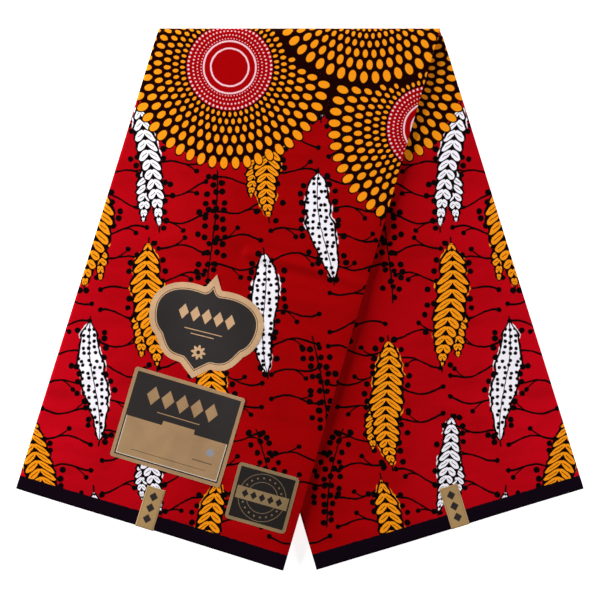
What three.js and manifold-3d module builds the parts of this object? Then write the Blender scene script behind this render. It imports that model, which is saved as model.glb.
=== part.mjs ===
// A length of wax print cotton as it is folded for sale. Six yards of cloth are folded to and fro into
// a band one panel wide, the band is doubled over once on a slant, and its two legs lie splayed and
// crossed on a flat surface. Three paper labels are stuck on the upper leg, and a tab is folded over
// each hem. Units are millimetres, +Z is up, +Y runs towards the top fold, and the origin is on the
// surface below the middle of the whole shape.
import * as THREE from "three";
import { mergeVertices } from "three/addons/utils/BufferGeometryUtils.js";
import Module from "manifold-3d";

// Driving dimensions of the cloth and its folding
const CLOTH_LENGTH = 5486.4; // six yards, along the selvedge
const PANEL_WIDTH = 304.8; // one folded panel, a third of a yard
const PLY_PITCH = 0.5; // one layer of cotton with the air held under it
const FACE_PLY = 1; // the layer that shows, as a wall
const SEAM_GAP = 0.3; // between pieces that touch
const FOLD_CHORD = 306.2; // the top fold, from end to end
const OUTER_EDGE = 525.5; // of each leg, from the top fold to the hem
const INNER_EDGE = 615.2;
const OUTER_SPLAY = THREE.MathUtils.degToRad(17.33); // each edge's lean from +Y
const INNER_SPLAY = THREE.MathUtils.degToRad(16.17);
const DRAPE_START = 2; // the upper leg leaves the under leg this far past its edge
const DRAPE_REACH = 80; // and comes down to the surface over this distance
const LOBES = 8; // folded edges that show on the rim of each hidden stack, two layers in each
const LOBE_DEPTH = 0.5;
const FOLD_STEPS = 12; // facets round the top fold

// Worked out from those
const STACK = (CLOTH_LENGTH / PANEL_WIDTH) * PLY_PITCH; // one leg's full height
const HIDDEN = STACK - FACE_PLY - SEAM_GAP; // the height of its hidden layers
const LIFT = STACK + SEAM_GAP; // how high the upper leg rides on the under leg
const FOLD_RADIUS = (2 * STACK + SEAM_GAP) / 2;
const TOP_Y = (INNER_EDGE * Math.cos(INNER_SPLAY)) / 2;
const HALF_CHORD = FOLD_CHORD / 2;
const ROOT = FOLD_RADIUS + SEAM_GAP; // the legs start this far below the top fold

// The two legs: which way each leans, and the facets of its walls across and along it
const UPPER = { lean: -1, across: 20, along: 28 };
const UNDER = { lean: 1, across: 12, along: 16 };

// Soft folds in the legs, from one end to the other, fading out at reach on each side
const UPPER_FOLDS = [
  { x0: -60, y0: 46, x1: 78, y1: 15, height: -1.3, reach: 26 },
  { x0: -40, y0: 6, x1: 62, y1: -16, height: 0.9, reach: 26 },
  { x0: -200, y0: 104, x1: -150, y1: 78, height: -0.9, reach: 24 },
  { x0: -196, y0: -60, x1: -150, y1: -4, height: 0.8, reach: 26 },
];
const UNDER_FOLDS = [
  { x0: 186, y0: 20, x1: 212, y1: -120, height: -0.9, reach: 26 },
  { x0: 128, y0: -100, x1: 150, y1: -200, height: 0.8, reach: 26 },
];

// Labels on the upper leg and tabs on the hems
const LABEL_PLY = 0.5;
const LABEL_TILT = THREE.MathUtils.degToRad(-16.5);
const BADGE = { x: -103.6, y: -29.7, tilt: THREE.MathUtils.degToRad(-13.8) };
const CARD = { x: -133, y: -139.2, tilt: LABEL_TILT, width: 125, height: 101.5 };
const SEAL = { x: -41, y: -216.1, tilt: LABEL_TILT, width: 68.3, height: 63.4 };
const LABEL_CORNER = 3.5;
// The badge's right half, from its lower point up to its upper one. A row with no handles is straight.
const CARTOUCHE_FOOT = -58;
const CARTOUCHE_HALF = [
  { x: 17, y: -44 },
  { x: 49, y: -22, handles: [[34, -44], [40, -38]] },
  { x: 63, y: 10, handles: [[58, -16], [63, -4]] },
  { x: 9, y: 42, handles: [[63, 32], [40, 47]] },
  { x: 0, y: 58 },
];
const TAB_WIDTH = 20.5;
const TAB_LENGTH = 43; // on the face, from the hem
const TAB_PLY = 0.5;
const UPPER_TAB_ACROSS = 0.481; // share of the hem from its outer corner
const UNDER_TAB_ACROSS = 0.461;

const FINISHES = {
  face: new THREE.MeshStandardMaterial({ color: 0xb50612, roughness: 0.7 }),
  layers: new THREE.MeshStandardMaterial({ color: 0x7d0710, roughness: 0.85 }),
  label: new THREE.MeshStandardMaterial({ color: 0x2b2a2c, roughness: 0.5 }),
  tab: new THREE.MeshStandardMaterial({ color: 0xb08d57, roughness: 0.45 }),
};

const lerp = THREE.MathUtils.lerp;

// A leg's outer edge (end 0) or inner edge (end 1), a distance down from the top fold.
function edgePoint(lean, end, down) {
  const outward = HALF_CHORD + down * Math.tan(OUTER_SPLAY);
  const inward = -HALF_CHORD + down * Math.tan(INNER_SPLAY);
  return [lean * (end ? inward : outward), TOP_Y - down];
}

// A leg's plan: across is 0 at its outer edge and 1 at its inner edge, along is 0 at the top and 1 at
// the hem. Inset draws its rim in, save at the top.
function legPlan(leg, across, along, inset = 0) {
  const a = THREE.MathUtils.clamp(across, inset / PANEL_WIDTH, 1 - inset / PANEL_WIDTH);
  const v = Math.min(along, 1 - inset / OUTER_EDGE);
  const outer = edgePoint(leg.lean, 0, lerp(ROOT, OUTER_EDGE * Math.cos(OUTER_SPLAY), v));
  const inner = edgePoint(leg.lean, 1, lerp(ROOT, INNER_EDGE * Math.cos(INNER_SPLAY), v));
  return [lerp(outer[0], inner[0], a), lerp(outer[1], inner[1], a)];
}

// How far the soft folds raise or sink the cloth at a point.
function relief(folds, x, y) {
  let height = 0;
  for (const fold of folds) {
    const run = [fold.x1 - fold.x0, fold.y1 - fold.y0];
    const share = ((x - fold.x0) * run[0] + (y - fold.y0) * run[1]) / (run[0] ** 2 + run[1] ** 2);
    const nearest = THREE.MathUtils.clamp(share, 0, 1);
    const away = Math.hypot(x - fold.x0 - nearest * run[0], y - fold.y0 - nearest * run[1]);
    height += fold.height * Math.max(0, 1 - (away / fold.reach) ** 2) ** 2;
  }
  return height;
}

// The height of the upper leg's underside: it rests on the under leg, and past that leg's inner edge
// it comes down to the surface in a smooth curve.
function upperBase(x, y) {
  const edgeX = edgePoint(UNDER.lean, 1, TOP_Y - y)[0];
  const past = (edgeX - x) * Math.cos(INNER_SPLAY);
  return LIFT * (1 - THREE.MathUtils.smoothstep(past, DRAPE_START, DRAPE_START + DRAPE_REACH));
}

const upperSurface = { base: upperBase, folds: UPPER_FOLDS };
const underSurface = { base: () => 0, folds: UNDER_FOLDS };

function meshOf(name, positions, faces, material) {
  const geometry = new THREE.BufferGeometry();
  geometry.setAttribute("position", new THREE.Float32BufferAttribute(positions.flat(), 3));
  geometry.setIndex(faces.flat());
  geometry.computeVertexNormals();
  const mesh = new THREE.Mesh(geometry, material);
  mesh.name = name;
  return mesh;
}

// A closed solid over a leg's plan. Each level has the height of its points and how far its rim is
// drawn in; the lowest and highest levels are whole surfaces, and those between are only rims.
function legSolid(name, leg, levels, material) {
  const points = [];
  const faces = [];
  const faceOut = leg.lean < 0 ? ([a, b, c]) => [a, b, c] : ([a, b, c]) => [a, c, b];
  const point = (i, j, level) => {
    const [x, y] = legPlan(leg, i / leg.across, j / leg.along, level.inset);
    points.push([x, y, level.height(x, y)]);
    return points.length - 1;
  };
  const rim = [];
  for (let j = 0; j < leg.along; j++) rim.push([0, j]);
  for (let i = 0; i < leg.across; i++) rim.push([i, leg.along]);
  for (let j = leg.along; j > 0; j--) rim.push([leg.across, j]);
  for (let i = leg.across; i > 0; i--) rim.push([i, 0]);

  const sheet = (level, up) => {
    const index = [];
    for (let i = 0; i <= leg.across; i++) {
      index.push([]);
      for (let j = 0; j <= leg.along; j++) index[i].push(point(i, j, level));
    }
    for (let i = 0; i < leg.across; i++) {
      for (let j = 0; j < leg.along; j++) {
        const [a, b] = [index[i][j], index[i][j + 1]];
        const [c, d] = [index[i + 1][j + 1], index[i + 1][j]];
        faces.push(...(up ? [[a, b, c], [a, c, d]] : [[a, c, b], [a, d, c]]).map(faceOut));
      }
    }
    return rim.map(([i, j]) => index[i][j]);
  };

  let below = sheet(levels[0], false);
  for (let k = 1; k < levels.length; k++) {
    const last = k === levels.length - 1;
    const here = last ? sheet(levels[k], true) : rim.map(([i, j]) => point(i, j, levels[k]));
    rim.forEach((_, n) => {
      const m = (n + 1) % rim.length;
      faces.push(...[[below[n], below[m], here[m]], [below[n], here[m], here[n]]].map(faceOut));
    });
    below = here;
  }
  return meshOf(name, points, faces, material);
}

// The rim of a folded stack as a list of shares of its height, from 0 to 1, with their insets: one
// rounded lobe for each folded edge that shows.
function lobedRim() {
  const rim = [{ share: 0, inset: LOBE_DEPTH }];
  for (let lobe = 0; lobe < LOBES; lobe++) {
    rim.push({ share: (lobe + 0.25) / LOBES, inset: 0 });
    rim.push({ share: (lobe + 0.75) / LOBES, inset: 0 });
    rim.push({ share: (lobe + 1) / LOBES, inset: LOBE_DEPTH });
  }
  return rim;
}

// The hidden layers of a leg, as one stack with its folded edges on the rim.
function hiddenLayers(name, leg, surface) {
  const levels = lobedRim().map(({ share, inset }) => ({
    inset,
    height: (x, y) => surface.base(x, y) + share * (HIDDEN + relief(surface.folds, x, y)),
  }));
  return legSolid(name, leg, levels, FINISHES.layers);
}

// A wall that lies on a leg's hidden layers, between two heights above their top.
function wallOn(name, leg, surface, low, high, material) {
  const levels = [low, high].map((rise) => ({
    inset: 0,
    height: (x, y) => surface.base(x, y) + HIDDEN + relief(surface.folds, x, y) + rise,
  }));
  return legSolid(name, leg, levels, material);
}

const facePly = (name, leg, surface) =>
  wallOn(name, leg, surface, SEAM_GAP, SEAM_GAP + FACE_PLY, FINISHES.face);

// A point of the top fold: end 0 and 1 are the upper leg's outer and inner edges, and turn runs from 0
// above the fold's axis to PI below it.
function foldPoint(end, radius, turn, inset) {
  const down = FOLD_RADIUS - radius * Math.sin(turn);
  const upperX = edgePoint(UPPER.lean, end, down)[0];
  const underX = edgePoint(UNDER.lean, 1 - end, down)[0];
  const x = lerp(upperX, underX, (1 - Math.cos(turn)) / 2);
  return [x + (end ? -inset : inset), TOP_Y - down, FOLD_RADIUS + radius * Math.cos(turn)];
}

// A solid swept round the top fold between radii. Where the first radius is 0 it is solid to the axis.
function foldSolid(name, rings, material) {
  const points = [];
  const faces = [];
  const solidCore = rings[0].radius === 0;
  const index = [];
  for (let step = 0; step <= FOLD_STEPS; step++) {
    index.push(
      rings.map(({ radius, inset }, k) => {
        if (solidCore && k === 0 && step > 0) return index[0][0];
        points.push(...[0, 1].map((end) => foldPoint(end, radius, (Math.PI * step) / FOLD_STEPS, inset)));
        return [points.length - 2, points.length - 1];
      }),
    );
  }
  const quad = (a, b, c, d) => {
    if (a !== b && b !== c) faces.push([a, b, c]);
    if (c !== d && d !== a) faces.push([a, c, d]);
  };
  const outermost = rings.length - 1;
  for (let step = 0; step < FOLD_STEPS; step++) {
    const [here, next] = [index[step], index[step + 1]];
    for (let k = 0; k < outermost; k++) {
      quad(here[k][0], here[k + 1][0], next[k + 1][0], next[k][0]);
      quad(here[k + 1][1], here[k][1], next[k][1], next[k + 1][1]);
    }
    quad(here[outermost][0], here[outermost][1], next[outermost][1], next[outermost][0]);
    if (!solidCore) quad(here[0][1], here[0][0], next[0][0], next[0][1]);
  }
  for (let k = 0; k < outermost; k++) {
    const [first, last] = [index[0], index[FOLD_STEPS]];
    quad(first[k][0], first[k][1], first[k + 1][1], first[k + 1][0]);
    quad(last[k][1], last[k][0], last[k + 1][0], last[k + 1][1]);
  }
  return meshOf(name, points, faces, material);
}

function foldLayers(name) {
  const core = FOLD_RADIUS - FACE_PLY - SEAM_GAP;
  const rings = lobedRim().map(({ share, inset }) => ({ radius: share * core, inset }));
  return foldSolid(name, rings, FINISHES.layers);
}

function foldFace(name) {
  const rings = [FOLD_RADIUS - FACE_PLY, FOLD_RADIUS].map((radius) => ({ radius, inset: 0 }));
  return foldSolid(name, rings, FINISHES.face);
}

// Outlines of the labels, about their own middles with +Y to their tops
function cardOutline({ width, height }) {
  const [w, h, r] = [width / 2, height / 2, LABEL_CORNER];
  const outline = new THREE.Shape();
  outline.moveTo(-w + r, -h);
  outline.lineTo(w - r, -h).quadraticCurveTo(w, -h, w, -h + r);
  outline.lineTo(w, h - r).quadraticCurveTo(w, h, w - r, h);
  outline.lineTo(-w + r, h).quadraticCurveTo(-w, h, -w, h - r);
  outline.lineTo(-w, -h + r).quadraticCurveTo(-w, -h, -w + r, -h);
  return outline;
}

// A cartouche: two round lobes with a point between them, drawn in below to a second point.
function badgeOutline() {
  const outline = new THREE.Shape();
  outline.moveTo(0, CARTOUCHE_FOOT);
  for (const { x, y, handles } of CARTOUCHE_HALF) {
    if (handles) outline.bezierCurveTo(...handles[0], ...handles[1], x, y);
    else outline.lineTo(x, y);
  }
  const ends = [{ x: 0, y: CARTOUCHE_FOOT }, ...CARTOUCHE_HALF];
  for (let n = CARTOUCHE_HALF.length - 1; n >= 0; n--) {
    const [{ x, y }, { handles }] = [ends[n], CARTOUCHE_HALF[n]];
    if (handles) {
      const [first, second] = handles;
      outline.bezierCurveTo(-second[0], second[1], -first[0], first[1], -x, y);
    } else outline.lineTo(-x, y);
  }
  return outline;
}

const wasm = await Module();
wasm.setup();

function manifoldOf(geometry) {
  const bare = geometry.clone();
  bare.deleteAttribute("normal");
  bare.deleteAttribute("uv");
  const merged = mergeVertices(bare, 1e-4);
  const triVerts = new Uint32Array(merged.index.array);
  const vertProperties = new Float32Array(merged.attributes.position.array);
  return new wasm.Manifold(new wasm.Mesh({ numProp: 3, vertProperties, triVerts }));
}

// A label is the upper leg's own top surface moved out by its thickness and cut to the outline.
const LABEL_RISE = SEAM_GAP + FACE_PLY + SEAM_GAP;
const labelSheet = manifoldOf(
  wallOn("sheet", UPPER, upperSurface, LABEL_RISE, LABEL_RISE + LABEL_PLY, FINISHES.label).geometry,
);

const CUT = { depth: 4 * STACK, bevelEnabled: false, curveSegments: 7 };

function label(name, outline, place) {
  const cutter = new THREE.ExtrudeGeometry(outline, CUT);
  cutter.rotateZ(place.tilt).translate(place.x, place.y, 0);
  const cut = labelSheet.intersect(manifoldOf(cutter)).getMesh();
  const geometry = new THREE.BufferGeometry();
  geometry.setAttribute("position", new THREE.BufferAttribute(cut.vertProperties, 3));
  geometry.setIndex(new THREE.BufferAttribute(cut.triVerts, 1));
  geometry.computeVertexNormals();
  const mesh = new THREE.Mesh(geometry, FINISHES.label);
  mesh.name = name;
  return mesh;
}

// A tab lies on the face, bends over the hem and ends just above the surface.
function hemTab(name, leg, across) {
  const over = STACK + SEAM_GAP;
  const profile = new THREE.Shape();
  profile.moveTo(-TAB_LENGTH, over);
  profile.lineTo(SEAM_GAP, over);
  profile.lineTo(SEAM_GAP, SEAM_GAP);
  profile.lineTo(SEAM_GAP + TAB_PLY, SEAM_GAP);
  profile.lineTo(SEAM_GAP + TAB_PLY, over);
  profile.lineTo(SEAM_GAP, over + TAB_PLY);
  profile.lineTo(-TAB_LENGTH, over + TAB_PLY);
  const geometry = new THREE.ExtrudeGeometry(profile, { depth: TAB_WIDTH, bevelEnabled: false });
  geometry.translate(0, 0, -TAB_WIDTH / 2);
  geometry.rotateX(Math.PI / 2);
  const tab = new THREE.Mesh(geometry, FINISHES.tab);
  const [outer, inner] = [legPlan(leg, 0, 1), legPlan(leg, 1, 1)];
  const hem = Math.atan2(inner[1] - outer[1], inner[0] - outer[0]);
  const [x, y] = legPlan(leg, across, 1);
  tab.position.set(x, y, 0);
  tab.rotation.z = leg.lean < 0 ? hem - Math.PI / 2 : hem + Math.PI / 2;
  tab.name = name;
  return tab;
}

const cloth = new THREE.Group();
cloth.add(
  hiddenLayers("under_leg_layers", UNDER, underSurface),
  facePly("under_leg_face", UNDER, underSurface),
  hiddenLayers("upper_leg_layers", UPPER, upperSurface),
  facePly("upper_leg_face", UPPER, upperSurface),
  foldLayers("top_fold_layers"),
  foldFace("top_fold_face"),
  label("label_badge", badgeOutline(), BADGE),
  label("label_card", cardOutline(CARD), CARD),
  label("label_seal", cardOutline(SEAL), SEAL),
  hemTab("tab_upper_hem", UPPER, UPPER_TAB_ACROSS),
  hemTab("tab_under_hem", UNDER, UNDER_TAB_ACROSS),
);

export default cloth;
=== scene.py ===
from math import cos, pi, radians, sin, tan

import bpy
import numpy as np
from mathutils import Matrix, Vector


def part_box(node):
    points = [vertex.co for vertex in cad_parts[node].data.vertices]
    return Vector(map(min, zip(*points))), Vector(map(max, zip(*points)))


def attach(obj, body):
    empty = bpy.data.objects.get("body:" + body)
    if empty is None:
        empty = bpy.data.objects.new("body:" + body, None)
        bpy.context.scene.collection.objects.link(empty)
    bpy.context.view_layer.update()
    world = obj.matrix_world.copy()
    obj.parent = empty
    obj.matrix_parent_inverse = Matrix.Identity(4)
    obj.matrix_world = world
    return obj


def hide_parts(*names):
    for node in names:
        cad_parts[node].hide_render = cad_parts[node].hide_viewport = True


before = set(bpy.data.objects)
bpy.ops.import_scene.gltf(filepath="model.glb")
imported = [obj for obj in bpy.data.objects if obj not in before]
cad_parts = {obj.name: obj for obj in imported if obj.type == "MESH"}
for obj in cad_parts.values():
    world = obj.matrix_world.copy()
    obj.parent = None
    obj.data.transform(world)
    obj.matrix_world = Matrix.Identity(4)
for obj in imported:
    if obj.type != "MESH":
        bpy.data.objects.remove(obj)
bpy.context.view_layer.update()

MM = 0.001  # lengths are in mm until they are multiplied by this
scene = bpy.context.scene

# ---------------------------------------------------------------- camera, light and floor
# The cloth lies on a white table. A long lens looks straight down at it. A wide soft light stands low
# on the left, so that each fold and step of the cloth shades the far side, and a weaker one faces it.

VIEW_WIDTH = 652.9 * MM  # what the camera takes in at the height of the cloth
VIEW_CENTRE = (0.33 * MM, -0.82 * MM)
CAMERA_HEIGHT = 2.6
CLOTH_HEIGHT = 14 * MM
SENSOR = 36
FAR_END = 30
STRIPS = [  # name, place, length, width, watts
    ("key_light", (-1.35, 0.6, 0.68), 2.2, 1.15, 58),
    ("fill_light", (1.5, 0, 0.6), 2.2, 0.5, 28),
]
ROOM_GLOW = 0.05
TABLE_GLOW = 0.85
TABLE_SIZE = 7.0
TABLE_DROP = 0.15 * MM  # keeps the table just clear of the lowest layer

camera_data = bpy.data.cameras.new("camera")
camera_data.sensor_width = SENSOR
camera_data.lens = SENSOR * (CAMERA_HEIGHT - CLOTH_HEIGHT) / VIEW_WIDTH
camera_data.clip_end = FAR_END
camera = bpy.data.objects.new("camera", camera_data)
camera.location = (*VIEW_CENTRE, CAMERA_HEIGHT)
scene.collection.objects.link(camera)
scene.camera = camera

scene.view_settings.view_transform = "Standard"
scene.view_settings.look = "None"

for name, place, length, width, watts in STRIPS:
    data = bpy.data.lights.new(name, "AREA")
    data.shape = "RECTANGLE"
    data.size = length
    data.size_y = width
    data.energy = watts
    light = bpy.data.objects.new(name, data)
    light.location = place
    light.rotation_euler = (-Vector(place)).to_track_quat("-Z", "Y").to_euler()
    light.visible_camera = False
    scene.collection.objects.link(light)

world = bpy.data.worlds.new("studio")
world.use_nodes = True
world.node_tree.nodes["Background"].inputs["Color"].default_value = (1, 1, 1, 1)
world.node_tree.nodes["Background"].inputs["Strength"].default_value = ROOM_GLOW
scene.world = world


def new_paint(name, finish):
    """A material with inputs of its shader set to what finish gives, and that shader."""
    paint = bpy.data.materials.new(name)
    paint.use_nodes = True
    shader = paint.node_tree.nodes["Principled BSDF"]
    for label, value in finish.items():
        shader.inputs[label].default_value = value
    return paint, shader


table_mesh = bpy.data.meshes.new("table")
corners = [(-1, -1), (1, -1), (1, 1), (-1, 1)]
table_mesh.from_pydata(
    [(x * TABLE_SIZE / 2, y * TABLE_SIZE / 2, -TABLE_DROP) for x, y in corners], [], [range(4)]
)
table_mesh.materials.append(new_paint("table_white", {
    "Base Color": (0.8, 0.8, 0.8, 1),
    "Roughness": 0.9,
    "Specular IOR Level": 0.1,
    "Emission Color": (1, 1, 1, 1),
    "Emission Strength": TABLE_GLOW,
})[0])
table = bpy.data.objects.new("table", table_mesh)
scene.collection.objects.link(table)

# ---------------------------------------------------------------- the print
# Cotton printed on both faces with wax-resist colours: roundels of dots and ovals across the top fold,
# and fronds of small leaves below them on a red ground, with black tendrils and berries between. A
# black band runs along the selvedge.


def srgb(red, green, blue):
    """A colour given as it looks on a screen, 0 to 255, made linear."""
    share = np.array([red, green, blue]) / 255
    linear = np.where(share <= 0.04045, share / 12.92, ((share + 0.055) / 1.055) ** 2.4)
    return (*(float(v) for v in linear), 1)


def darker(colour, share):
    return (*(channel * share for channel in colour[:3]), 1)


def sign_of(operation, swapped=False):
    """What an arithmetic sign does between a field and another value, or the other way round."""
    def combine(field, other):
        return math_of(operation, *((other, field) if swapped else (field, other)))

    return combine


class Field:
    """A number that varies over a surface: an output of a node in the shader tree being built."""

    tree = None
    is_colour = False

    def __init__(self, socket):
        self.socket = socket

    def __abs__(self):
        return math_of("ABSOLUTE", self)

    __add__ = __radd__ = sign_of("ADD")
    __mul__ = __rmul__ = sign_of("MULTIPLY")
    __sub__, __rsub__ = sign_of("SUBTRACT"), sign_of("SUBTRACT", swapped=True)
    __truediv__ = sign_of("DIVIDE")
    __pow__ = sign_of("POWER")
    __lt__, __gt__ = sign_of("LESS_THAN"), sign_of("GREATER_THAN")


def plug(socket, value):
    if isinstance(value, Field):
        Field.tree.links.new(value.socket, socket)
    else:
        socket.default_value = value


def node_of(kind, inputs, **settings):
    """The outputs, as fields, of a new node with its settings made and its inputs plugged."""
    node = Field.tree.nodes.new(kind)
    for name, value in settings.items():
        setattr(node, name, value)
    for name, value in inputs.items():
        plug(node.inputs[name], value)
    return [Field(socket) for socket in node.outputs]


def math_of(operation, *values):
    return node_of("ShaderNodeMath", dict(enumerate(values)), operation=operation)[0]


def length_of(x, y):
    return math_of("SQRT", x * x + y * y)


def ramp(value, low, high, at_low=0, at_high=1):
    return node_of("ShaderNodeMapRange", dict(enumerate((value, low, high, at_low, at_high))))[0]


INK_BLUR = 0.55  # how soft the printed edges are, in mm
FINE_BLUR = 0.4
SHARP = 0.01


def inside(distance, blur=INK_BLUR):
    """1 where distance is below zero and 0 where it is above, with an edge that wide."""
    return ramp(distance, -blur / 2, blur / 2, 1, 0)


MIX_SOCKETS = {False: ("FLOAT", 2, 0), True: ("RGBA", 6, 2)}  # kind, first of both inputs, output


def blend(mask, below, above):
    """A number or a colour that is above where mask is 1."""
    is_colour = any(getattr(end, "is_colour", isinstance(end, tuple)) for end in (below, above))
    kind, first, output = MIX_SOCKETS[is_colour]
    result = node_of("ShaderNodeMix", {0: mask, first: below, first + 1: above}, data_type=kind)[output]
    result.is_colour = is_colour
    return result


def any_of(*masks):
    total = masks[0]
    for mask in masks[1:]:
        total = math_of("MAXIMUM", total, mask)
    return total


def vector_of(x, y, z=0):
    return node_of("ShaderNodeCombineXYZ", {0: x, 1: y, 2: z})[0]


def noise_at(x, y, scale, detail=1, z=0):
    inputs = {"Vector": vector_of(x, y, z), "Scale": scale, "Detail": detail}
    return node_of("ShaderNodeTexNoise", inputs)[0]


def random_of(column, row, seed):
    """Three numbers from 0 to 1 that are the same all over one cell of a repeat."""
    inputs = {"Vector": vector_of(column, row, seed)}
    return node_of("ShaderNodeSeparateColor", {0: node_of("ShaderNodeTexWhiteNoise", inputs)[1]})


def between(draw, limits):
    """Where a draw from 0 to 1 comes to lie between two limits."""
    return limits[0] + draw * (limits[1] - limits[0])


def parts_of(vector):
    return node_of("ShaderNodeSeparateXYZ", {0: vector})[:2]


def map_in_mm(name):
    """The two coordinates of a UV map that is kept in metres."""
    return [part * (1 / MM) for part in parts_of(node_of("ShaderNodeUVMap", {}, uv_map=name)[0])]


def cell_of(value, pitch):
    """Which cell of a repeat value is in, and how far it is from that cell's middle."""
    cell = math_of("FLOOR", value / pitch)
    return cell, value - (cell + 0.5) * pitch


def specks(x, y, spacing, scatter):
    """How far away the nearest of some scattered points is, and where it is, in mm."""
    inputs = {"Vector": vector_of(x, y), "Scale": 1 / spacing, "Randomness": scatter}
    distance, _, position, *_ = node_of("ShaderNodeTexVoronoi", inputs, voronoi_dimensions="2D")
    return distance * spacing, *parts_of(position)


CRIMSON = srgb(191, 5, 24)
DEEP_RED = srgb(155, 2, 5)
STREAK_RED = srgb(118, 1, 3)
MIDDLE_RED = srgb(158, 1, 4)
ORANGE = srgb(241, 145, 20)
WHITE = srgb(241, 237, 245)
PINK_WHITE = srgb(240, 196, 206)
BLACK = srgb(7, 4, 5)
ROUNDEL_BLACK = srgb(21, 2, 1)
SELVEDGE_BLACK = srgb(12, 6, 17)

# Roundels. Ovals and dots are sized as a share of the gap to the next ring, or to the next spoke.
ROUNDEL_PLACES = [(-76, 252), (141.5, 185), (76, 345)]  # the last lies over the other two
ROUNDEL_RADIUS = 113
ROUNDEL_RIM = 2.5  # no oval of another roundel has its middle so near to the last one
ROUNDEL_WEB = 69  # how far the black between two roundels fills the corner where they meet
OVAL_SPOKES = 52
OVAL_GROWTH = 1.152  # each ring of ovals is so much wider than the last
OVAL_HALVES = (0.43, 0.318)  # half lengths and half widths in the outermost ring
OVAL_SHRINK = 0.82  # share of those in the innermost one
OVAL_SLOPE = 0.045  # an oval's half width as a share of its radius
OVAL_BACKING = (1.27, 0.08)  # reach and blur
LAST_OVALS = 103.7  # radius of the outermost ring
MIDDLE_RADIUS = 47  # the ovals end and the red middle starts
DOT_SPOKES = 62
DOT_GROWTH = 1.13
DOT_HALVES = (0.15, 0.235)  # in the innermost and the outermost ring
DOT_ROUNDING = 0.95
DOT_SLOPE = 0.02
LAST_DOTS = 45
FIRST_DOTS = 29.5
WHITE_RINGS = [20.5, 28.4]
WHITE_RING_WIDTH = 1.75


def rings_of(radius, angle, last, growth, spokes, half_long, half_wide):
    """How far out a point lies in its nearest oval, 1 at the edge, and that oval's radius and angle. The
    ovals of each ring stand between those of the next, and grow with it."""
    order = math_of("LOGARITHM", radius / last, growth)
    found = []
    for step in (0, 1):
        ring = math_of("MINIMUM", math_of("FLOOR", order) + step, 0)
        spoke = angle * spokes + ring * 0.5
        along = (order - ring) / half_long
        across = (math_of("FRACT", spoke) - 0.5) / half_wide
        turned = (math_of("FLOOR", spoke) + 0.5 - ring * 0.5) * (2 * pi / spokes)
        found.append((length_of(along, across), last * math_of("POWER", growth, ring), turned))
    return [blend(found[1][0] < found[0][0], inner, outer) for inner, outer in zip(*found)]


def roundel_colours(x, y, ground):
    """The roundels laid over the ground."""
    distances = [length_of(x - cx, y - cy) for cx, cy in ROUNDEL_PLACES]
    on_last = inside(distances[2] - ROUNDEL_RADIUS, SHARP)
    nearer_second = inside(distances[1] - distances[0], SHARP)
    centre_x, centre_y = (
        blend(on_last, blend(nearer_second, first, second), last)
        for first, second, last in zip(*ROUNDEL_PLACES)
    )
    dx, dy = x - centre_x, y - centre_y
    radius = length_of(dx, dy)
    angle = math_of("ARCTAN2", dy, dx) / (2 * pi)

    smooth = distances[0]
    for distance in distances[1:]:
        smooth = math_of("SMOOTH_MIN", smooth, distance, ROUNDEL_WEB)
    swell = ramp(radius, MIDDLE_RADIUS, LAST_OVALS, OVAL_SHRINK, 1)
    halves = [swell * half for half in OVAL_HALVES]
    reach, out, turned = rings_of(radius, angle, LAST_OVALS, OVAL_GROWTH, OVAL_SPOKES, *halves)
    last_x, last_y = ROUNDEL_PLACES[-1]
    oval_x = centre_x + out * math_of("COSINE", turned)
    oval_y = centre_y + out * math_of("SINE", turned)
    from_last = length_of(oval_x - last_x, oval_y - last_y)
    whole = any_of(on_last, from_last > ROUNDEL_RADIUS + ROUNDEL_RIM)
    rim, blur = OVAL_BACKING
    backing = any_of(inside(smooth - LAST_OVALS, FINE_BLUR), inside(reach - rim, blur))
    colour = blend(backing, ground, ROUNDEL_BLACK)
    colour = blend(inside((reach - 1) * radius * OVAL_SLOPE) * whole, colour, ORANGE)

    middle = inside(radius - MIDDLE_RADIUS)
    colour = blend(middle, colour, MIDDLE_RED)
    size = ramp(radius, FIRST_DOTS, LAST_DOTS, *DOT_HALVES)
    dot = rings_of(radius, angle, LAST_DOTS, DOT_GROWTH, DOT_SPOKES, size * DOT_ROUNDING, size)[0]
    dots = inside((dot - 1) * radius * DOT_SLOPE) * middle * inside(FIRST_DOTS - radius, FINE_BLUR)
    rings = [inside(abs(radius - ring) - WHITE_RING_WIDTH / 2) for ring in WHITE_RINGS]
    return blend(any_of(dots, *rings), colour, PINK_WHITE)


# Fronds, one in each cell of a half-drop repeat. Pairs are the limits that each draw lies between.
FROND_COLUMN = 62
FROND_ROW = 172
FROND_ORIGIN = (5, 16)
FROND_SEEDS = (13, 31)
FROND_HALVES = (48, 74)  # half lengths
FROND_CLIMB = (-13, 13)
FROND_ASIDE = (-4.5, 4.5)
FROND_LEAN = (-10, 10)
FROND_WAVES = (1.6, 2.6)
FROND_SWAY = 4
PHASES = 6  # how far waves are shifted at most, in radians
FROND_GIRTHS = (10.5, 17)  # half widths
FROND_TAPER = 3.5
FROND_ROUNDING = 0.72
LUMPS = (37, 2.6)  # how fast a frond's width changes from one frond to the next, and along it
LUMP_SIZES = (0.45, 1.55)
FROND_END = 0.99
STEM = 0.9
STEM_REACH = 1.1
LEAFLET_PITCHES = (8, 11)
LEAFLET_SLANT = 0.72
LEAFLET_FILL = 0.42
LEAFLET_TIP = 0.6
VEIN = 0.42
VEIN_ENDS = (0.16, 0.72)
BACKING_RIM = 1.5
SCALLOP = 0.6
SCALLOP_TURN = 0.65
SHOOT_HALF = 0.52  # half length, as a share of the frond's
SHOOT_DROPS = (0.12, 0.42)
SHOOT_GIRTHS = (7, 10.5)
SHOOT_PITCH = 0.86
SHOOT_CURVE = (-11, 9, 3)
WHITE_SHARE = 0.33  # of the fronds of leaflets
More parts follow.
